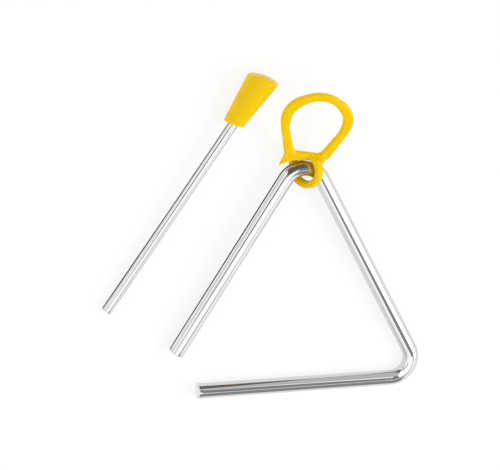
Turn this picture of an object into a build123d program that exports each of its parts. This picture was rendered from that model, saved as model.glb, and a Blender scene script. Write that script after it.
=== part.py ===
from math import asin, atan2, cos, degrees, radians, sin, sqrt
import os

from build123d import *

os.makedirs("parts", exist_ok=True)

# A small hand triangle lying on a table, with its beater beside it.
# The base bar runs along X, the apex points to +Y and Z is up.

# Steel triangle: one bar, bent twice and open at the third corner.
side_length = 150.0  # between the points where the straight centrelines meet
bar_diameter = 8.0
bend_radius = 11.0  # of the centreline
end_gap = 25.0  # each end stops this far short of the open corner
bar_end_chamfer = 0.6

# Moulded holder: a finger loop on an eye that is threaded on the apex.
eye_thickness = 4.8
eye_edge_share = 0.28  # of the eye's thickness, the rounding of its outer edges
hole_edge_share = 0.44  # of the eye's thickness, the rounding of its hole
eye_band_share = 0.79  # of the eye's thickness, its width around the hole
eye_hole_clearance = 4.8  # how much wider the eye's hole is than the bar
eye_top_share = 0.65  # of the loop base's height, where the eye is cut off flat
eye_drop = 0.4  # the eye's centre lies this far inside the bend's centreline
eye_shift = 0.8  # and this far to the right of the apex
neck_thickness_share = 0.9  # of the loop's thickness, so the neck's ends stay inside eye and loop
neck_foot_share = 0.2  # of the eye's radius, how far up the eye the neck starts
neck_foot_width_share = 0.8  # of the eye's diameter
neck_top_share = 0.7  # of the loop base's height, where the neck ends
neck_gap = 0.8  # the neck stops this far outside the eye's hole
loop_thickness = 4.0
loop_edge_share = 0.34  # of the loop's thickness, the rounding along its faces
loop_shift = 1.8  # the loop's middle lies this far to the left of the eye's
loop_base_height = 3.0
loop_base_spread = 18.4
loop_base_radius = 3.0
loop_height = 21.9  # from the loop's base to the middle of its shoulders
loop_arm_width = 5.2
shoulder_spread = 10.0
shoulder_radius = 13.6
crown_radius = 17.6
crown_drop = 2.0  # the crown's centre lies this far below the shoulders
crown_arm_width = 4.2
opening_corner_spread = 10.4
opening_corner_radius = 2.5

# How the holder lies: its eye leans over, its loop is twisted back almost level and raised.
holder_pitch = 17.0
holder_heading = 7.0
eye_lean = 56.0
loop_lean = 4.0

# Beater: a steel rod pressed into a tapered grip with a domed end.
beater_diameter = 5.4
beater_exposed_length = 114.5
beater_end_chamfer = 0.5
grip_length = 26.8
beater_seat_share = 0.67  # of the grip's length, how deep the rod is pressed in
grip_narrow_diameter = 10.4
grip_wide_diameter = 16.0
grip_dome_height = 1.8
grip_wide_edge_radius = 1.0
grip_narrow_edge_radius = 0.8

# Where the beater's tip lies, from the open corner, and which way it points.
beater_tip_left = 24.0
beater_tip_back = 45.8
beater_heading = 57.7

half_share = 0.5
corner_angle = 60.0

bar_radius = bar_diameter * half_share
eye_half = eye_thickness * half_share
eye_edge_radius = eye_thickness * eye_edge_share
loop_half = loop_thickness * half_share
loop_edge_radius = loop_thickness * loop_edge_share
eye_hole_radius = (bar_diameter + eye_hole_clearance) * half_share
eye_radius = eye_hole_radius + eye_thickness * eye_band_share
triangle_height = side_length * sin(radians(corner_angle))

# Directions of the holder: along the loop, and across and out of the face of eye and loop.
pitch = radians(holder_pitch)
turn = radians(holder_heading)
along = Vector(sin(turn) * cos(pitch), cos(turn) * cos(pitch), sin(pitch))
level = Vector(cos(turn), -sin(turn), 0)
steep = level.cross(along)
eye_across = level * cos(radians(eye_lean)) + steep * sin(radians(eye_lean))
loop_across = level * cos(radians(loop_lean)) + steep * sin(radians(loop_lean))
face = eye_across.cross(along)

# The rim of the eye stands on the table and carries the apex of the triangle.
eye_height = (
    (eye_radius - eye_edge_radius) * sqrt(1 - face.Z**2)
    + (eye_half - eye_edge_radius) * face.Z
    + eye_edge_radius
)
apex_reach = triangle_height - bend_radius
triangle_tilt = asin((eye_height - bar_radius) / apex_reach)
apex_depth = apex_reach * cos(triangle_tilt)

triangle_plane = Plane((0, 0, bar_radius)).rotated((degrees(triangle_tilt), 0, 0))
eye_plane = Plane(
    origin=(side_length * half_share + eye_shift, apex_depth - eye_drop, eye_height),
    x_dir=eye_across,
    z_dir=face,
)
loop_plane = Plane(
    origin=eye_plane.origin - loop_across * loop_shift,
    x_dir=loop_across,
    z_dir=loop_across.cross(along),
)

# The bar's route runs from the base's free end round to the free end of the left leg.
with BuildPart() as triangle_rod:
    with BuildLine(triangle_plane) as bar_route:
        base_end = (end_gap, 0)
        right_corner = (side_length, 0)
        apex_corner = (side_length * half_share, triangle_height)
        leg_end = (
            end_gap * cos(radians(corner_angle)),
            end_gap * sin(radians(corner_angle)),
        )
        FilletPolyline(base_end, right_corner, apex_corner, leg_end, radius=bend_radius)
    with BuildSketch(Plane(origin=bar_route.line @ 0, z_dir=bar_route.line % 0)):
        Circle(bar_radius)
    sweep()
    bar_ends = triangle_rod.faces().filter_by(GeomType.PLANE)
    chamfer(bar_ends.edges(), length=bar_end_chamfer)
triangle_rod.part.label = "triangle_rod"

# The eye is a thick ring with rounded edges, cut off flat inside the loop's base.
with BuildPart() as eye:
    with BuildSketch(eye_plane):
        Circle(eye_radius)
    extrude(amount=eye_half, both=True)
    fillet(eye.edges(), radius=eye_edge_radius)
    with BuildSketch(eye_plane):
        Circle(eye_hole_radius)
    extrude(amount=eye_half, both=True, mode=Mode.SUBTRACT)
    hole_rims = eye.edges(Select.LAST).filter_by(GeomType.CIRCLE)
    fillet(hole_rims, radius=eye_thickness * hole_edge_share)
    eye_top = eye_hole_radius + loop_base_height * eye_top_share
    split(bisect_by=Plane(eye_plane.origin + along * eye_top, z_dir=along), keep=Keep.BOTTOM)

# The loop is drawn in its own plane, with X across it and Y along it from the eye's centre.
base_bottom = eye_hole_radius
base_corner_height = base_bottom + loop_base_radius
shoulder_height = base_bottom + loop_height
crown_height = shoulder_height - crown_drop
corner_height = base_bottom + loop_base_height + opening_corner_radius
base_half = loop_base_spread * half_share
shoulder_half = shoulder_spread * half_share
corner_half = opening_corner_spread * half_share
with BuildPart() as finger_loop:
    with BuildSketch(loop_plane):
        with Locations((-base_half, base_corner_height), (base_half, base_corner_height)):
            Circle(loop_base_radius)
        with Locations((-shoulder_half, shoulder_height), (shoulder_half, shoulder_height)):
            Circle(shoulder_radius)
        with Locations((0, crown_height)):
            Circle(crown_radius)
        make_hull()
    extrude(amount=loop_half, both=True)
    with BuildSketch(loop_plane) as opening:
        with Locations((-corner_half, corner_height), (corner_half, corner_height)):
            Circle(opening_corner_radius)
        with Locations((-shoulder_half, shoulder_height), (shoulder_half, shoulder_height)):
            Circle(shoulder_radius - loop_arm_width)
        with Locations((0, crown_height)):
            Circle(crown_radius - crown_arm_width)
        make_hull()
    extrude(amount=loop_half, both=True, mode=Mode.SUBTRACT)
    fillet(finger_loop.faces().filter_by(loop_plane).edges(), radius=loop_edge_radius)

# The neck twists from the eye to the loop, and stays clear of the eye's hole.
neck_thickness = loop_thickness * neck_thickness_share
neck_foot = eye_plane.origin + along * (eye_radius * neck_foot_share)
neck_top = loop_plane.origin + along * (base_bottom + loop_base_height * neck_top_share)
with BuildPart() as holder:
    with BuildSketch(Plane(neck_foot, x_dir=eye_across, z_dir=along)):
        RectangleRounded(eye_radius * neck_foot_width_share * 2, neck_thickness, loop_edge_radius)
    with BuildSketch(Plane(neck_top, x_dir=loop_across, z_dir=along)):
        RectangleRounded(loop_base_spread + loop_base_radius, neck_thickness, loop_edge_radius)
    loft()
    add(finger_loop)
    with BuildSketch(eye_plane):
        Circle(eye_hole_radius + neck_gap)
    extrude(amount=eye_radius, both=True, mode=Mode.SUBTRACT)
    add(eye)
holder.part.label = "holder"

# The beater rests on its tip and on the edge of its wide end.
beater_radius = beater_diameter * half_share
narrow_radius = grip_narrow_diameter * half_share
wide_radius = grip_wide_diameter * half_share
seat_depth = grip_length * beater_seat_share
beater_slope = atan2(wide_radius - beater_radius, beater_exposed_length + grip_length)
heading = radians(beater_heading)
beater_axis = Vector(
    cos(heading) * cos(beater_slope),
    sin(heading) * cos(beater_slope),
    sin(beater_slope),
)
tip_plane = Plane(
    origin=(-beater_tip_left, beater_tip_back, beater_radius * cos(beater_slope)),
    z_dir=beater_axis,
)
seat_plane = tip_plane.offset(beater_exposed_length)

with BuildPart() as beater_rod:
    with BuildSketch(tip_plane):
        Circle(beater_radius)
    extrude(amount=beater_exposed_length + seat_depth)
    rod_ends = beater_rod.faces().filter_by(GeomType.PLANE)
    chamfer(rod_ends.edges(), length=beater_end_chamfer)
beater_rod.part.label = "beater_rod"

# The grip is half its section turned about the beater, with a blind seat for the rod.
section_plane = Plane(seat_plane.origin, x_dir=seat_plane.x_dir, z_dir=-seat_plane.y_dir)
with BuildPart() as beater_grip:
    with BuildSketch(section_plane) as grip_section:
        with BuildLine():
            narrow_edge = (narrow_radius, 0)
            wide_edge = (wide_radius, grip_length)
            crown = (0, grip_length + grip_dome_height)
            Polyline((0, 0), narrow_edge, wide_edge)
            dome_radius = (wide_radius**2 / grip_dome_height + grip_dome_height) * half_share
            RadiusArc(wide_edge, crown, -dome_radius)
            Line(crown, (0, 0))
        make_face()
        fillet(grip_section.vertices().sort_by_distance(narrow_edge)[0], grip_narrow_edge_radius)
        fillet(grip_section.vertices().sort_by_distance(wide_edge)[0], grip_wide_edge_radius)
    revolve(axis=Axis(seat_plane.origin, beater_axis))
    with BuildSketch(seat_plane):
        Circle(beater_radius)
    extrude(amount=seat_depth, mode=Mode.SUBTRACT)
beater_grip.part.label = "beater_grip"

# The origin goes under the middle of the whole set, on the table.
pieces = [triangle_rod.part, holder.part, beater_rod.part, beater_grip.part]
spread = Compound(pieces).bounding_box()
to_origin = Location((-spread.center().X, -spread.center().Y, -spread.min.Z))
for piece in pieces:
    export_step(piece.moved(to_origin), f"parts/{piece.label}.step")
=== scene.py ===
# %% [markdown]
# # A hand triangle and its beater
#
# The set is four pieces: a chromed steel bar bent into a triangle that stays open at one
# corner, a yellow moulded holder threaded on its top bend, and a beater made of a chromed rod
# in a yellow tapered grip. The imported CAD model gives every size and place, so the first cell
# loads it and keeps its box. Everything below is in metres, in the same frame.

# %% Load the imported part
import math
import bpy
import numpy as np
from mathutils import Matrix, Vector


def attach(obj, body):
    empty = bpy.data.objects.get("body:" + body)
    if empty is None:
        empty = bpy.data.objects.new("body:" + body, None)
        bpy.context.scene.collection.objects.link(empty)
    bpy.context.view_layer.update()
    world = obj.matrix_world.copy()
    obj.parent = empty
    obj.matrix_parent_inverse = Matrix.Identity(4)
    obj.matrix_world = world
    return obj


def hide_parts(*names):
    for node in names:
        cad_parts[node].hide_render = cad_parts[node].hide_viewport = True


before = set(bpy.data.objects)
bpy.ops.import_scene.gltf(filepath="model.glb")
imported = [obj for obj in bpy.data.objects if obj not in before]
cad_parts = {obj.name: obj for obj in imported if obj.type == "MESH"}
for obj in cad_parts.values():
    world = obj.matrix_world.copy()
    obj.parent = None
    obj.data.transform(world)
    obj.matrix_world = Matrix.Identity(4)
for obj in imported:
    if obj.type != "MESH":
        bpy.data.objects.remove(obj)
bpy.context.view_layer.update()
scene = bpy.context.scene
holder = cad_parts["holder"]

# %% [markdown]
# ## The camera
#
# The set lies flat and is seen from high up, with the picture turned so that the bent corner
# points to the lower right. A camera can be placed by eye, but here the three corners of the
# triangle were matched to the picture, which fixes its direction, its distance and its lens.
# A long lens keeps the perspective as flat as a product picture has it.

# %% Camera
PICTURE_WIDTH = 500
SENSOR_WIDTH = 36.0
CAMERA_DISTANCE = 1.2
PIXELS_PER_METRE = 1974.98
camera_aim = Vector((-0.010670, 0.000554, 0.005))
camera_back = Vector((-0.302628, 0.297782, 0.905396)).normalized()
camera_right = Vector((0.951889, 0.046393, 0.302910)).normalized()
camera_up = camera_back.cross(camera_right)

camera_data = bpy.data.cameras.new("picture_camera")
camera_data.sensor_width = SENSOR_WIDTH
camera_data.lens = SENSOR_WIDTH * PIXELS_PER_METRE * CAMERA_DISTANCE / PICTURE_WIDTH
camera = bpy.data.objects.new("picture_camera", camera_data)
axes = Matrix((camera_right, camera_up, camera_back)).transposed().to_4x4()
camera.matrix_world = Matrix.Translation(camera_aim + camera_back * CAMERA_DISTANCE) @ axes
scene.collection.objects.link(camera)
scene.camera = camera
print("lens", round(camera_data.lens, 1), "mm")

# %% [markdown]
# ## Bars as swept surfaces
#
# Chrome shows every facet, because a reflection bends wherever the surface does. The CAD mesh
# is fine for measuring, but a mirror finish looks best on an even grid, so both bars are made
# again: a circle carried along the bar's centreline. The centreline of a bent bar is straight
# runs joined by arcs, and each corner's arc follows from the two directions that meet there.

# %% Centreline and sweep
def bent_route(corners, bend_radius, run_rows, bend_rows):
    """Centreline through corners, rounded by arcs of bend_radius.

    With unit directions a in and b out and the turn t between them, the arc starts
    bend_radius * tan(t / 2) before the corner. With n the part of b square to a,
    p = start + bend_radius * (sin(w) * a + (1 - cos(w)) * n) for w from 0 to t."""
    corners = np.asarray(corners, float)
    directions = np.diff(corners, axis=0)
    directions /= np.linalg.norm(directions, axis=1, keepdims=True)
    pieces, start = [], corners[0]
    for corner, a, b in zip(corners[1:-1], directions[:-1], directions[1:]):
        turn = math.acos(a @ b)
        square = b - (a @ b) * a
        square /= np.linalg.norm(square)
        bend_start = corner - a * bend_radius * math.tan(turn / 2)
        w = np.linspace(0, turn, bend_rows)[:, None]
        arc = bend_start + bend_radius * (np.sin(w) * a + (1 - np.cos(w)) * square)
        pieces += [start + np.linspace(0, 1, run_rows)[:-1, None] * (bend_start - start), arc[:-1]]
        start = arc[-1]
    pieces.append(start + np.linspace(0, 1, run_rows)[:, None] * (corners[-1] - start))
    return np.concatenate(pieces)


def rings_joined(rings, around):
    """Quads between neighbouring rings of a closed surface, each ring of the same point count."""
    i, j = np.meshgrid(np.arange(rings - 1), np.arange(around), indexing="ij")
    k = (j + 1) % around
    quads = [i * around + j, i * around + k, (i + 1) * around + k, (i + 1) * around + j]
    return np.stack(quads, -1).reshape(-1, 4)


def bar_surface(name, route, side, radius, edge, around=96):
    """Closed bar p(s, v) = c(s) + r(s) * (cos(v) * side + sin(v) * side x t(s)).

    c is the route, t its direction and r the radius, which falls as a quarter circle of size
    edge at both ends. The flat ends close with a fan. The attribute straight_bar holds
    (r cos v, r sin v, s), the place the point would have on the bar before it was bent."""
    tangent = np.gradient(route, axis=0)
    tangent[0], tangent[-1] = route[1] - route[0], route[-1] - route[-2]
    tangent /= np.linalg.norm(tangent, axis=1, keepdims=True)
    length = np.concatenate([[0], np.cumsum(np.linalg.norm(np.diff(route, axis=0), axis=1))])
    quarter = np.linspace(0, math.pi / 2, 9)
    flat = np.array([0.34, 0.67, 1.0]) * (radius - edge)
    start_s = np.concatenate([np.zeros(len(flat)), edge * (1 - np.cos(quarter[1:]))])
    start_r = np.concatenate([flat, radius - edge * (1 - np.sin(quarter[1:]))])
    body_s = length[(length > edge * 1.01) & (length < length[-1] - edge * 1.01)]
    s = np.concatenate([start_s, body_s, length[-1] - start_s[::-1]])
    r = np.concatenate([start_r, np.full(len(body_s), radius), start_r[::-1]])
    centre = np.stack([np.interp(s, length, route[:, k]) for k in range(3)], axis=1)
    t = np.stack([np.interp(s, length, tangent[:, k]) for k in range(3)], axis=1)
    t /= np.linalg.norm(t, axis=1, keepdims=True)
    v = np.linspace(0, 2 * math.pi, around, endpoint=False)
    ring = np.cos(v)[None, :, None] * side + np.sin(v)[None, :, None] * np.cross(side, t)[:, None]
    points = (centre[:, None] + r[:, None, None] * ring).reshape(-1, 3)
    straight = np.stack([r[:, None] * np.cos(v), r[:, None] * np.sin(v),
                         np.broadcast_to(s[:, None], (len(s), around))], axis=-1).reshape(-1, 3)
    points = np.concatenate([points, route[:1], route[-1:]])
    straight = np.concatenate([straight, [[0, 0, 0], [0, 0, length[-1]]]])
    quads = rings_joined(len(s), around)
    j, last = np.arange(around), (len(s) - 1) * around
    k = (j + 1) % around
    first_fan = np.stack([np.full(around, len(points) - 2), k, j], -1)
    last_fan = np.stack([np.full(around, len(points) - 1), last + j, last + k], -1)
    faces = quads.tolist() + first_fan.tolist() + last_fan.tolist()
    mesh = bpy.data.meshes.new(name)
    mesh.from_pydata(points.tolist(), [], faces)
    mesh.attributes.new("straight_bar", "FLOAT_VECTOR", "POINT").data.foreach_set(
        "vector", straight.astype(np.float32).ravel())
    flat_quads = (len(flat) - 1) * around
    on_end = np.zeros(len(faces), np.int32)
    on_end[:flat_quads] = 1
    on_end[len(quads) - flat_quads:] = 1
    mesh.polygons.foreach_set("material_index", on_end)
    mesh.polygons.foreach_set("use_smooth", np.ones(len(faces), bool))
    mesh.update()
    piece = bpy.data.objects.new(name, mesh)
    scene.collection.objects.link(piece)
    print(name, len(points), "points,", round(length[-1] * 1000, 1), "mm of bar")
    return piece


# %% [markdown]
# ## The triangle bar
#
# On the real thing one length of round bar is bent twice on a former, so the section stays
# round and the ends are plain saw cuts with a broken edge. The triangle leans a little: its
# top rests in the holder's eye, which stands on its rim.

# %% Triangle bar
BAR_RADIUS = 0.004
BEND_RADIUS = 0.011
BAR_EDGE = 0.0006
base_end = np.array((-0.0349658, -0.0826709, 0.004))
right_corner = np.array((0.0900342, -0.0826709, 0.004))
apex_corner = np.array((0.0150342, 0.0470996, 0.0098835))
leg_end = np.array((-0.0474658, -0.0610425, 0.0049806))
triangle_up = np.cross(right_corner - base_end, apex_corner - right_corner)
triangle_up /= np.linalg.norm(triangle_up)
triangle_bar = bar_surface(
    "triangle_bar",
    bent_route((base_end, right_corner, apex_corner, leg_end), BEND_RADIUS, 40, 64),
    triangle_up, BAR_RADIUS, BAR_EDGE)
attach(triangle_bar, "triangle")
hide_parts("triangle_rod")

# %% [markdown]
# ## The beater's rod
#
# The beater is a thinner bar of the same kind, straight, so its route is one line. It rests on
# its tip and rises a little towards the grip, which is thicker. The far end sits in the grip.

# %% Beater bar
BEATER_RADIUS = 0.0027
BEATER_LENGTH = 0.132456
BEATER_EDGE = 0.0005
beater_tip = np.array((-0.0839658, -0.0368709, 0.0026981))
beater_axis = np.array((0.533977, 0.844668, 0.037482))
beater_axis /= np.linalg.norm(beater_axis)
beater_side = np.cross(beater_axis, (0, 0, 1))
beater_side /= np.linalg.norm(beater_side)
beater_bar = bar_surface(
    "beater_bar",
    beater_tip + np.linspace(0, BEATER_LENGTH, 56)[:, None] * beater_axis,
    beater_side, BEATER_RADIUS, BEATER_EDGE, around=80)
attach(beater_bar, "beater")
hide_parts("beater_rod")

# %% [markdown]
# ## The grip
#
# The grip is a cone with rounded edges and a domed end, turned about the rod. In the picture
# both of its ends lean the same way, as on a grip cut at a slant, so the turned shape is slid
# along the rod in proportion to how far a point lies to the side.

# %% Grip skin
def turned_and_leant(name, profile, start, axis, side, lean, around=112):
    """Surface p(q, v) = start + (z(q) + lean * r(q) * cos(v)) * axis
    + r(q) * (cos(v) * side + sin(v) * axis x side), for the profile's points (r, z)."""
    profile = np.asarray(profile, float)
    v = np.linspace(0, 2 * math.pi, around, endpoint=False)
    r, z = profile[:, :1, None], profile[:, 1:, None]
    cos, sin = np.cos(v)[None, :, None], np.sin(v)[None, :, None]
    points = start + (z + lean * r * cos) * axis + r * (cos * side + sin * np.cross(axis, side))
    quads = rings_joined(len(profile), around)
    last = len(profile) - 1
    caps = [list(range(around))[::-1], list(range(last * around, (last + 1) * around))]
    mesh = bpy.data.meshes.new(name)
    mesh.from_pydata(points.reshape(-1, 3).tolist(), [], quads.tolist() + caps)
    mesh.polygons.foreach_set("use_smooth", np.ones(len(mesh.polygons), bool))
    piece = bpy.data.objects.new(name, mesh)
    scene.collection.objects.link(piece)
    return piece


def rounded(centre, radius, from_angle, to_angle, count=9):
    """Points on an arc round centre, angles in degrees from the r axis towards z."""
    angle = np.radians(np.linspace(from_angle, to_angle, count))
    return np.stack([centre[0] + radius * np.cos(angle), centre[1] + radius * np.sin(angle)], 1)


GRIP_LENGTH, NARROW, WIDE, DOME = 0.0268, 0.0052, 0.0080, 0.0018
GRIP_START = 0.1145  # along the rod, from its tip
SEAT_DEPTH = 0.0187
SEAT_CAP, DOME_CAP = 0.0001, 89.9  # radius and angle where a small cap closes seat and dome
NARROW_EDGE, WIDE_EDGE = 0.0008, 0.0018
WIDE_EDGE_IN, WIDE_EDGE_DOWN = 0.0019, 0.0011  # where the wide edge's arc has its centre
DOME_INSET, DOME_SHARE = 0.0006, 0.86  # the dome starts inside the edge's arc
GRIP_LEAN = 0.25
taper = math.degrees(math.atan2(WIDE - NARROW, GRIP_LENGTH))
dome_radius = (WIDE**2 / DOME + DOME) / 2
dome_turn = math.degrees(math.asin((WIDE - DOME_INSET) / dome_radius))
wide_edge_middle = (WIDE - WIDE_EDGE_IN, GRIP_LENGTH - WIDE_EDGE_DOWN)
dome_middle = (0, GRIP_LENGTH + DOME - dome_radius)
grip_profile = np.concatenate([
    [(SEAT_CAP, SEAT_DEPTH), (BEATER_RADIUS, SEAT_DEPTH), (BEATER_RADIUS, 0.0)],
    rounded((NARROW - NARROW_EDGE, NARROW_EDGE), NARROW_EDGE, -90, -taper),
    rounded(wide_edge_middle, WIDE_EDGE, -taper, 90 - dome_turn),
    rounded(dome_middle, dome_radius, 90 - dome_turn * DOME_SHARE, DOME_CAP, 14),
])
grip_skin = turned_and_leant(
    "grip_skin", grip_profile, beater_tip + GRIP_START * beater_axis,
    beater_axis, beater_side, GRIP_LEAN)
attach(grip_skin, "beater")
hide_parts("beater_grip")
print("grip", len(grip_skin.data.vertices), "points")

# %% [markdown]
# ## The holder
#
# Eye, neck and loop are one moulding, and a mould has no sharp inner corners: plastic flows
# round them. The CAD solid keeps a crease where its bodies meet, so the piece gets a new skin.
# First two webs are laid under the loop's foot, each a ruled slab: straight lines from points
# along the foot to points on a second curve. One runs to the eye, which faces another way, and
# makes the neck full. One stays level with the loop and arches over the bar to a tip on the left.

# %% Neck webs
along = np.array((0.116544, 0.949177, 0.292372))
eye_middle = np.array((0.015834, 0.035711, 0.009385))
eye_face = np.array((-0.842783, -0.061239, 0.534759))
loop_middle = np.array((0.0140565, 0.0359662, 0.0092652))
loop_face = np.array((-0.104781, -0.280984, 0.953975))
eye_across, loop_across = np.cross(along, eye_face), np.cross(along, loop_face)
SLAB_ROWS = 11


def slab(first, second, facing, half_thickness):
    """Closed ruled slab p(u, v, w) = (1 - v) * first(u) + v * second(u) + w * n, points and faces.

    first and second are rows of points for u from -1 to 1, and n is facing(v) made a unit. w is
    plus or minus half_thickness and falls as sqrt(1 - d^8) towards all four sides."""
    columns = len(first)
    u = np.linspace(-1, 1, columns)[None, :, None]
    v = np.linspace(0, 1, SLAB_ROWS)[:, None, None]
    normal = facing(v) / np.linalg.norm(facing(v), axis=-1, keepdims=True)
    fall = np.maximum(1 - u**8, 0) * np.maximum(1 - (2 * v - 1)**8, 0)
    thick = half_thickness * np.sqrt(fall)
    middle = (1 - v) * first + v * second
    upper, lower = middle + thick * normal, middle - thick * normal
    i, j = np.meshgrid(np.arange(SLAB_ROWS - 1), np.arange(columns - 1), indexing="ij")
    corner = i * columns + j
    quads = np.stack([corner, corner + 1, corner + columns + 1, corner + columns], -1)
    quads = quads.reshape(-1, 4)
    points = np.concatenate([upper.reshape(-1, 3), lower.reshape(-1, 3)])
    return points, np.concatenate([quads[:, ::-1], quads + SLAB_ROWS * columns])


def neck_web(foot_half=0.0112, foot_height=0.0088, rim_radius=0.0082, rim_turn=72, half=0.0018):
    """From a line across the loop's foot to an arc round the eye, rim(q) = eye_middle
    + rim_radius * (sin(q) * eye_across + cos(q) * along), for q up to rim_turn degrees each way."""
    share = np.linspace(-1, 1, 41)[:, None]
    turn = np.radians(rim_turn * share)
    foot = loop_middle + foot_half * share * loop_across + foot_height * along
    rim = eye_middle + rim_radius * (np.sin(turn) * eye_across + np.cos(turn) * along)
    return slab(foot, rim, lambda v: (1 - v) * loop_face + v * eye_face, half)


def arched_lip(foot_height=0.0086, lift=0.0002, half=0.0015):
    """Level with the loop, from its foot down to an arch over the bar, with a tip on the left.

    The arch's height is 4.9 - 5.6 * (1 - t)^4 + 1.4 * t^3 mm for t from 0 at the tip to 1."""
    t = np.linspace(0, 1, 61)[:, None]
    foot = loop_middle + (-0.0116 + 0.0186 * t) * loop_across + foot_height * along
    height = 0.0049 - 0.0056 * (1 - t)**4 + 0.0014 * t**3
    arch = loop_middle + (-0.0130 + 0.0190 * t) * loop_across + height * along
    return slab(foot + lift * loop_face, arch + lift * loop_face, lambda v: loop_face + 0 * v, half)


webs = (neck_web(), arched_lip())
print("webs of", [len(points) for points, _ in webs], "points")

# %% [markdown]
# ### One skin over all of it
#
# Solid and webs are divided together into small even cells, which joins them, and the skin over
# the cells is relaxed until each crease is a soft hollow, while faces and outline hardly move.
# The eye's top is cut back under the loop, so that it does not show in the finger opening.

# %% Holder skin
SKIN_CELL = 0.00028
SKIN_PASSES = 26
TRIM_UNDER, TRIM_TOP = -0.0018, 0.0105  # only points under the loop and below this height move
TRIM_LEAST, TRIM_HEIGHT, TRIM_SLOPE = 0.0058, 0.0090, 0.72


def applied(piece, kind, **settings):
    """The mesh a piece has with one modifier on it, as a mesh of its own."""
    modifier = piece.modifiers.new(kind.lower(), kind)
    for key, value in settings.items():
        setattr(modifier, key, value)
    bpy.context.view_layer.update()
    finished = piece.evaluated_get(bpy.context.evaluated_depsgraph_get())
    mesh = bpy.data.meshes.new_from_object(finished)
    piece.modifiers.clear()
    return mesh


def mesh_points(mesh):
    """All points of a mesh, one row each."""
    points = np.empty(3 * len(mesh.vertices), np.float32)
    mesh.vertices.foreach_get("co", points)
    return points.reshape(-1, 3).astype(float)


all_points = [mesh_points(holder.data)]
all_faces = [list(face.vertices) for face in holder.data.polygons]
for web_points, web_faces in webs:
    all_faces += (web_faces + sum(map(len, all_points))).tolist()
    all_points.append(web_points)
solid = bpy.data.meshes.new("holder_skin")
solid.from_pydata(np.concatenate(all_points).tolist(), [], all_faces)
holder_skin = bpy.data.objects.new("holder_skin", solid)
scene.collection.objects.link(holder_skin)
holder_skin.data = applied(holder_skin, "REMESH", mode="VOXEL", voxel_size=SKIN_CELL)
points = mesh_points(holder_skin.data)
height, depth = (points - loop_middle) @ along, (points - loop_middle) @ loop_face
limit = np.maximum(TRIM_LEAST, TRIM_HEIGHT + TRIM_SLOPE * depth)
trimmed = (depth < TRIM_UNDER) & (height > limit) & (height < TRIM_TOP)
points -= np.where(trimmed, height - limit, 0.0)[:, None] * along
holder_skin.data.vertices.foreach_set("co", points.astype(np.float32).ravel())
skin = applied(holder_skin, "SMOOTH", factor=0.5, iterations=SKIN_PASSES)
holder_skin.data = skin
skin.polygons.foreach_set("use_smooth", np.ones(len(skin.polygons), bool))
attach(holder_skin, "holder")
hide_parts("holder")
print("holder skin", len(skin.vertices), "points")

# %% [markdown]
# ## Finishes that the materials share
#
# Hands leave faint dull patches on chrome and plastic alike. That is one effect with its own
# size and cover in each finish, so it is a node group: a soft large pattern broken up by a
# finer one. The group gives a mask, and each material decides what the mask does.

# %% Handling marks
def add(tree, kind, **sockets):
    """One node of that kind, with its input sockets set by name (underscores for spaces)."""
    node = tree.nodes.new(kind)
    for key, value in sockets.items():
        node.inputs[key.replace("_", " ")].default_value = value
    return node


def math_node(tree, operation, first, second):
    """A Math node of two inputs, each a number or a socket."""
    node = tree.nodes.new("ShaderNodeMath")
    node.operation = operation
    for socket, value in zip(node.inputs, (first, second)):
        if isinstance(value, bpy.types.NodeSocket):
            tree.links.new(value, socket)
        else:
            socket.default_value = value
    return node.outputs[0]


def ramp(tree, value, low, high, to_low=0.0, to_high=1.0):
    """Smooth step of value from low to high, given out between to_low and to_high."""
    node = add(tree, "ShaderNodeMapRange",
               From_Min=low, From_Max=high, To_Min=to_low, To_Max=to_high)
    node.interpolation_type = "SMOOTHSTEP"
    tree.links.new(value, node.inputs["Value"])
    return node.outputs["Result"]


marks = bpy.data.node_groups.new("handling_marks", "ShaderNodeTree")
marks.interface.new_socket("Place", in_out="INPUT", socket_type="NodeSocketVector")
marks.interface.new_socket("Size", in_out="INPUT", socket_type="NodeSocketFloat")
marks.interface.new_socket("Cover", in_out="INPUT", socket_type="NodeSocketFloat")
marks.interface.new_socket("Marks", in_out="OUTPUT", socket_type="NodeSocketFloat")
given, result = marks.nodes.new("NodeGroupInput"), marks.nodes.new("NodeGroupOutput")
broad = add(marks, "ShaderNodeTexNoise", Detail=3.0, Roughness=0.55)
fine = add(marks, "ShaderNodeTexNoise", Detail=5.0, Roughness=0.7)
marks.links.new(given.outputs["Place"], broad.inputs["Vector"])
marks.links.new(given.outputs["Place"], fine.inputs["Vector"])
marks.links.new(given.outputs["Size"], broad.inputs["Scale"])
marks.links.new(math_node(marks, "MULTIPLY", given.outputs["Size"], 9.0), fine.inputs["Scale"])
patches = math_node(marks, "ADD", broad.outputs["Fac"], given.outputs["Cover"])
marks.links.new(
    math_node(marks, "MULTIPLY", ramp(marks, patches, 0.85, 1.15),
              ramp(marks, fine.outputs["Fac"], 0.25, 0.75)),
    result.inputs["Marks"])
print("group", marks.name, [s.name for s in marks.interface.items_tree])

# %% [markdown]
# ## Chrome
#
# Bright plating is a near mirror. What gives it away as a real bar is small: long faint waves
# from drawing the steel, a trace of dulling from hands, and ends that were sawn before they
# were plated. The waves read the straightened bar, so they follow it round the bends.

# %% Chrome for the bars
def principled(name):
    """A new node material and its Principled shader."""
    material = bpy.data.materials.new(name)
    material.use_nodes = True
    return material, material.node_tree, material.node_tree.nodes["Principled BSDF"]


def use_marks(tree, size, cover):
    """The handling marks of a finish, on Object coordinates."""
    place = tree.nodes.new("ShaderNodeTexCoord")
    group = tree.nodes.new("ShaderNodeGroup")
    group.node_tree = marks
    group.inputs["Size"].default_value = size
    group.inputs["Cover"].default_value = cover
    tree.links.new(place.outputs["Object"], group.inputs["Place"])
    return group.outputs["Marks"], place.outputs["Object"]


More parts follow.
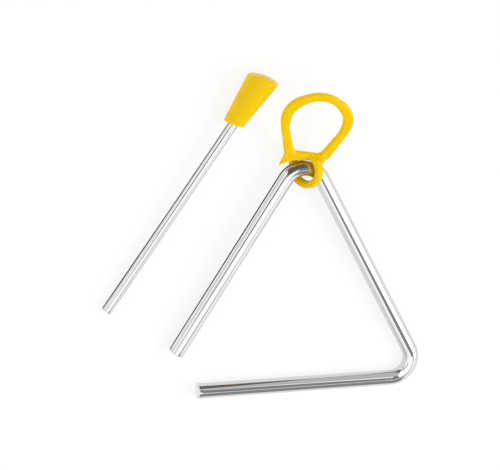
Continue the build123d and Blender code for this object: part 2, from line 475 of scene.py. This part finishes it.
def blend_colour(tree, mask, first, second):
    """Colour that goes from first to second with the mask."""
    mix = tree.nodes.new("ShaderNodeMix")
    mix.data_type = "RGBA"  # its colours are sockets 6 and 7, and the result is output 2
    mix.inputs[6].default_value, mix.inputs[7].default_value = (*first, 1), (*second, 1)
    tree.links.new(mask, mix.inputs[0])
    return mix.outputs[2]


def bump(tree, shader, height, strength, distance):
    """A Bump node from height to the shader's normal."""
    node = add(tree, "ShaderNodeBump", Strength=strength, Distance=distance)
    tree.links.new(height, node.inputs["Height"])
    tree.links.new(node.outputs["Normal"], shader.inputs["Normal"])


def straight_bar(tree, stretch):
    """The straightened bar's coordinates, drawn out along the bar by stretch."""
    place = tree.nodes.new("ShaderNodeAttribute")
    place.attribute_name = "straight_bar"
    mapping = add(tree, "ShaderNodeMapping", Scale=(1, 1, 1 / stretch))
    tree.links.new(place.outputs["Vector"], mapping.inputs["Vector"])
    return mapping.outputs["Vector"]


chrome, tree, shader = principled("bright_chrome")
shader.inputs["Metallic"].default_value = 1.0
dulling, _ = use_marks(tree, 38.0, 0.30)
tree.links.new(ramp(tree, dulling, 0, 1, 0.045, 0.11), shader.inputs["Roughness"])
tree.links.new(blend_colour(tree, dulling, (0.67, 0.67, 0.675), (0.61, 0.61, 0.61)),
               shader.inputs["Base Color"])
drawn = add(tree, "ShaderNodeTexNoise", Scale=420.0, Detail=2.0)
tree.links.new(straight_bar(tree, 40.0), drawn.inputs["Vector"])
bump(tree, shader, drawn.outputs["Fac"], 0.25, 0.00002)

sawn, tree, shader = principled("sawn_end_chrome")
shader.inputs["Metallic"].default_value = 1.0
dulling, _ = use_marks(tree, 160.0, 0.45)
tree.links.new(ramp(tree, dulling, 0, 1, 0.30, 0.46), shader.inputs["Roughness"])
tree.links.new(blend_colour(tree, dulling, (0.86, 0.86, 0.87), (0.76, 0.76, 0.77)),
               shader.inputs["Base Color"])
saw_lines = add(tree, "ShaderNodeTexWave", Scale=900.0, Distortion=1.5, Detail=2.0)
tree.links.new(straight_bar(tree, 1.0), saw_lines.inputs["Vector"])
bump(tree, shader, saw_lines.outputs["Fac"], 0.3, 0.00003)

for bar in (triangle_bar, beater_bar):
    bar.data.materials.append(chrome)
    bar.data.materials.append(sawn)
print("chrome on", triangle_bar.name, "and", beater_bar.name)

# %% [markdown]
# ## Yellow plastic
#
# Holder and grip come from the mould with a gloss that is not quite flat: a fine skin, slow
# waves where the plastic sank as it cooled, and a thin line where the two halves of the mould
# met. The line lies in a plane, so its mask is the distance from that plane.

# %% Yellow moulded plastic
def moulded(name, seam_point, seam_normal, seam_half):
    """Glossy yellow plastic with a mould line where it meets the plane of the seam."""
    material, tree, shader = principled(name)
    dulling, place = use_marks(tree, 55.0, 0.32)
    tree.links.new(ramp(tree, dulling, 0, 1, 0.26, 0.42), shader.inputs["Roughness"])
    flow = add(tree, "ShaderNodeTexNoise", Scale=70.0, Detail=3.0)
    grain = add(tree, "ShaderNodeTexNoise", Scale=1400.0, Detail=2.0)
    tree.links.new(place, flow.inputs["Vector"])
    tree.links.new(place, grain.inputs["Vector"])
    tree.links.new(
        blend_colour(tree, flow.outputs["Fac"], (0.80, 0.512, 0.0), (0.86, 0.585, 0.0)),
        shader.inputs["Base Color"])
    offset = tree.nodes.new("ShaderNodeVectorMath")
    offset.operation = "SUBTRACT"
    offset.inputs[1].default_value = seam_point
    tree.links.new(place, offset.inputs[0])
    across = tree.nodes.new("ShaderNodeVectorMath")
    across.operation = "DOT_PRODUCT"
    across.inputs[1].default_value = seam_normal
    tree.links.new(offset.outputs["Vector"], across.inputs[0])
    distance = math_node(tree, "ABSOLUTE", across.outputs["Value"], 0.0)
    seam = ramp(tree, distance, seam_half * 0.3, seam_half, 1.0, 0.0)
    waves = math_node(tree, "ADD", math_node(tree, "MULTIPLY", flow.outputs["Fac"], 1.2),
                      math_node(tree, "MULTIPLY", grain.outputs["Fac"], 0.12))
    bump(tree, shader, math_node(tree, "ADD", waves, seam), 0.35, 0.00012)
    shader.inputs["Specular IOR Level"].default_value = 0.15
    shader.inputs["Subsurface Weight"].default_value = 0.45
    shader.inputs["Subsurface Radius"].default_value = (1.0, 0.7, 0.1)
    shader.inputs["Subsurface Scale"].default_value = 0.0025
    return material


skin.materials.clear()
skin.materials.append(moulded("holder_yellow", tuple(loop_middle), tuple(loop_face), 0.00022))
grip_seam = np.cross(beater_side, beater_axis)
grip_skin.data.materials.append(
    moulded("grip_yellow", tuple(beater_tip), tuple(grip_seam), 0.00018))
print("yellow plastic on", holder_skin.name, "and", grip_skin.name)

# %% [markdown]
# ## Table and light
#
# The set lies on a plain white table under soft light from the right. White paper in a bright
# tent looks pure white, so part of the floor's white is given out directly to what the camera
# and the mirror surfaces see, and the rest is lit and keeps the soft shadows.

# %% White table
REACH, TABLE_DROP = 6.0, 0.0001
TABLE_WHITE, GIVEN_OUT = 0.93, 0.8
floor_mesh = bpy.data.meshes.new("table")
floor_mesh.from_pydata(
    [(-REACH, -REACH, 0), (REACH, -REACH, 0), (REACH, REACH, 0), (-REACH, REACH, 0)],
    [], [(0, 1, 2, 3)])
floor = bpy.data.objects.new("table", floor_mesh)
floor.location.z = -TABLE_DROP
scene.collection.objects.link(floor)


def seen_rays(tree):
    """1 for rays from the camera and for mirrored or bent rays, else 0."""
    path = tree.nodes.new("ShaderNodeLightPath")
    seen, mirrored = path.outputs["Is Camera Ray"], path.outputs["Is Glossy Ray"]
    either = math_node(tree, "MAXIMUM", seen, mirrored)
    return math_node(tree, "MAXIMUM", either, path.outputs["Is Transmission Ray"])


paper = bpy.data.materials.new("white_table")
paper.use_nodes = True
tree = paper.node_tree
tree.nodes.remove(tree.nodes["Principled BSDF"])
lit = add(tree, "ShaderNodeBsdfDiffuse", Color=(TABLE_WHITE, TABLE_WHITE, TABLE_WHITE, 1))
glow = add(tree, "ShaderNodeEmission", Color=(1, 1, 1, 1), Strength=1.0)
mixed = tree.nodes.new("ShaderNodeMixShader")
tree.links.new(math_node(tree, "MULTIPLY", seen_rays(tree), GIVEN_OUT), mixed.inputs[0])
tree.links.new(lit.outputs[0], mixed.inputs[1])
tree.links.new(glow.outputs[0], mixed.inputs[2])
tree.links.new(mixed.outputs[0], tree.nodes["Material Output"].inputs["Surface"])
floor_mesh.materials.append(paper)
print("table", paper.name)

# %% [markdown]
# ## What the chrome mirrors
#
# A chrome bar is only as good as the room around it. The tent is white overhead and greyer
# low down, with a few darker panels: each shows as a long dark line on the bar whose mirrored
# directions cross it. A panel is a soft rectangle on the sky, given by its direction.

# %% Tent with panels
world = bpy.data.worlds.new("light_tent")
scene.world = world
world.use_nodes = True
tree = world.node_tree
sky = tree.nodes.new("ShaderNodeTexCoord").outputs["Generated"]


def sky_dot(direction):
    """How far a sky direction points along the given one."""
    node = tree.nodes.new("ShaderNodeVectorMath")
    node.operation = "DOT_PRODUCT"
    node.inputs[1].default_value = direction
    tree.links.new(sky, node.inputs[0])
    return node.outputs["Value"]


def panel(azimuth, elevation, half_width, half_height, feather):
    """Mask of a soft rectangle on the sky: 1 where both |x| < half_width and |y| < half_height.

    x and y are measured from the panel's centre as on a flat card seen square on: the parts of
    the direction along the card's width and height over the part along its centre."""
    a, e = math.radians(azimuth), math.radians(elevation)
    centre = Vector((math.cos(a) * math.cos(e), math.sin(a) * math.cos(e), math.sin(e)))
    wide = Vector((-math.sin(a), math.cos(a), 0))
    forward = math_node(tree, "MAXIMUM", sky_dot(centre), 0.001)
    masks = []
    for direction, half in ((wide, half_width), (centre.cross(wide), half_height)):
        ratio = math_node(tree, "DIVIDE", sky_dot(direction), forward)
        size = math_node(tree, "ABSOLUTE", ratio, 0.0)
        masks.append(ramp(tree, size, half - feather, half + feather, 1.0, 0.0))
    return math_node(tree, "MULTIPLY", *masks)


TENT_LOW, TENT_HIGH = 1.0, 1.45
RISE_START, RISE_END = 0.05, 0.75  # sines of the heights between which the tent brightens
TENT_LIGHT = 0.88  # share of the tent's brightness that lights the set
PANELS = (  # azimuth, elevation, half width, half height, feather, brightness
    (72, 26, 0.55, 0.68, 0.10, 0.66),
    (18, 73, 0.46, 0.12, 0.03, 0.30),
    (-76, 36, 0.36, 0.47, 0.03, 0.33),
    (164, 49, 0.40, 0.11, 0.05, 0.55),
)
light = ramp(tree, sky_dot((0, 0, 1)), RISE_START, RISE_END, TENT_LOW, TENT_HIGH)
for azimuth, elevation, half_width, half_height, feather, brightness in PANELS:
    mask = panel(azimuth, elevation, half_width, half_height, feather)
    mix = tree.nodes.new("ShaderNodeMix")  # its two numbers are sockets 2 and 3
    mix.inputs[3].default_value = brightness
    tree.links.new(mask, mix.inputs[0])
    tree.links.new(light, mix.inputs[2])
    light = mix.outputs[0]
background = tree.nodes["Background"]
background.inputs["Color"].default_value = (1, 1, 1, 1)
rest = math_node(tree, "MULTIPLY", seen_rays(tree), 1.0 - TENT_LIGHT)
level = math_node(tree, "ADD", rest, TENT_LIGHT)
tree.links.new(math_node(tree, "MULTIPLY", light, level), background.inputs["Strength"])
print("tent with", len(PANELS), "panels")

# %% [markdown]
# ### Near cards
#
# Panels on the sky give lines that stay even along a bar. The dark lines on the left leg and on
# the beater grow stronger upwards, so something near makes them: a wedge-shaped black card to
# the left, wide at its far end. A dark card behind does the same for the top bend and the base.
# And a bar on white paper mirrors the shaded gap beneath it along its lower edge, next to the
# bright paper. Strips beside the bars paint both into the chrome: dark strips are painted contact
# shadow and glowing strips are painted light, brighter than the lit paper. Only mirrored rays
# see these cards, so they cast no shadow.

# %% Cards for the mirrored rays
cards = []


def card(name, corners, grey, glow=0.0):
    """A flat card through four corners that only mirrored rays see, dark or giving out light."""
    mesh = bpy.data.meshes.new(name)
    mesh.from_pydata([tuple(corner) for corner in corners], [], [(0, 1, 2, 3)])
    piece = bpy.data.objects.new(name, mesh)
    scene.collection.objects.link(piece)
    for ray in ("camera", "diffuse", "transmission", "volume_scatter", "shadow"):
        setattr(piece, "visible_" + ray, False)
    material, tree, shader = principled(name)
    shader.inputs["Base Color"].default_value = (grey, grey, grey, 1)
    shader.inputs["Roughness"].default_value = 0.9
    shader.inputs["Emission Color"].default_value = (1, 1, 1, 1)
    shader.inputs["Emission Strength"].default_value = glow
    mesh.materials.append(material)
    cards.append(name)


def beside_bar(name, start, end, near, far, height, grey, glow=0.0):
    """A strip on the table beside a bar. near and far are its two edges, each measured to the
    left of the bar's axis at its start and at its end."""
    run = (end - start) * (1, 1, 0)
    left = np.cross((0, 0, 1), run / np.linalg.norm(run))
    first, second = start * (1, 1, 0) + (0, 0, height), end * (1, 1, 0) + (0, 0, height)
    card(name, (first + near[0] * left, second + near[1] * left,
                second + far[1] * left, first + far[0] * left), grey, glow)


BEATER_STRIP = 0.114  # along the beater, just short of its grip
PAPER, ABOVE = 0.0, 0.0002  # heights of the light strips and of the dark ones on them
beater_neck = beater_tip + BEATER_STRIP * beater_axis
card("wedge_left", ((-0.101, -0.030, 0.058), (-0.101, 0.085, 0.112),
                    (-0.101, 0.085, 0.185), (-0.101, -0.030, 0.061)), 0.02)
card("wedge_back", ((-0.004, 0.055, 0.0), (0.080, 0.055, 0.0),
                    (0.020, 0.055, 0.130), (-0.060, 0.055, 0.130)), 0.13)
leg, beater = (leg_end, apex_corner), (beater_tip, beater_neck)
# Painted light and shade, seen only in the chrome: the glowing strips by the left leg and the
# beater are painted light, and the dark strips by the left leg, the beater and the right leg are
# painted contact shadow.
beside_bar("painted_light_leg", *leg, (0.001, 0.001), (0.038, 0.042), PAPER, 0.0, 1.16)
beside_bar("painted_shadow_leg", *leg, (-0.001, 0.003), (0.0074, 0.0135), ABOVE, 0.02)
beside_bar("painted_light_beater", *beater, (0.001, 0.001), (0.030, 0.060), PAPER, 0.0, 1.12)
beside_bar("painted_shadow_beater", *beater, (0.001, 0.011), (0.0060, 0.032), ABOVE, 0.02)
beside_bar("painted_shadow_right", apex_corner, right_corner, (-0.0060, -0.0056), (0.0, 0.0), ABOVE, 0.25)
print("cards", cards)

# %% [markdown]
# ## The lamp
#
# The shadows in the picture are faint and fall to the left, so one weak square lamp stands high
# on the right, turned to the middle of the set. The tent does the rest.

# %% Soft lamp from the right
LAMP_SIDE, LAMP_POWER = 0.5, 3.0
lamp_from = Vector((0.62, -0.12, 0.66))
lamp_data = bpy.data.lights.new("right_softbox", "AREA")
lamp_data.shape = "RECTANGLE"
lamp_data.size, lamp_data.size_y = LAMP_SIDE, LAMP_SIDE
lamp_data.energy = LAMP_POWER
lamp = bpy.data.objects.new("right_softbox", lamp_data)
lamp.location = lamp_from
lamp.rotation_euler = (-lamp_from).to_track_quat("-Z", "Y").to_euler()
scene.collection.objects.link(lamp)
scene.view_settings.view_transform = "Standard"
print("lamp", LAMP_POWER, "W")
